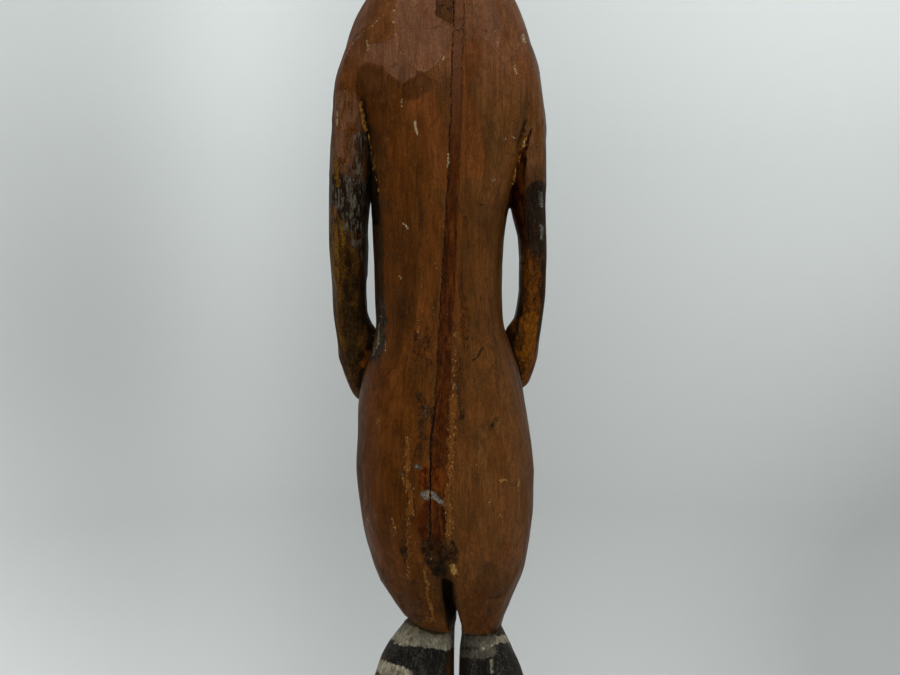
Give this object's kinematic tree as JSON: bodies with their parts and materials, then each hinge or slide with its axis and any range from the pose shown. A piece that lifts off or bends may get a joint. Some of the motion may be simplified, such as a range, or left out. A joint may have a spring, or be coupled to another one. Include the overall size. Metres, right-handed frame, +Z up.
{
  "type": "carved standing fertility figure",
  "caption": "Standing human figure carved from a log, with sloping shoulders, arms held clear of the waist, an oval of hips and thighs, flaring calves and flat feet. Painted in earth colours.",
  "frame": {"origin": "on the resting surface, under the centre of the figure's bounding box", "axes": "+Z up along the figure; +X to the figure's own left; the face looks along -Y and the back along +Y"},
  "size_m": [0.1258, 0.104, 0.644],
  "materials": {
    "red_ochre_wood": "satin red-brown ochre paint over soft wood",
    "arm_wood": "red-brown, black and yellow-ochre paint over soft wood",
    "calf_wood": "banded white, black and red-brown paint over soft wood",
    "black_wood": "dull soot-black paint over soft wood"
  },
  "bodies": {
    "root": {"hips_and_thighs": "red_ochre_wood", "torso": "red_ochre_wood", "left_arm": "arm_wood", "right_arm": "arm_wood", "left_hand": "arm_wood", "right_hand": "arm_wood", "left_calf": "calf_wood", "right_calf": "calf_wood", "left_foot": "calf_wood", "right_foot": "calf_wood", "neck": "red_ochre_wood", "head": "red_ochre_wood", "left_ear": "red_ochre_wood", "right_ear": "red_ochre_wood", "hair_cap": "black_wood"}
  },
  "joints": []
}
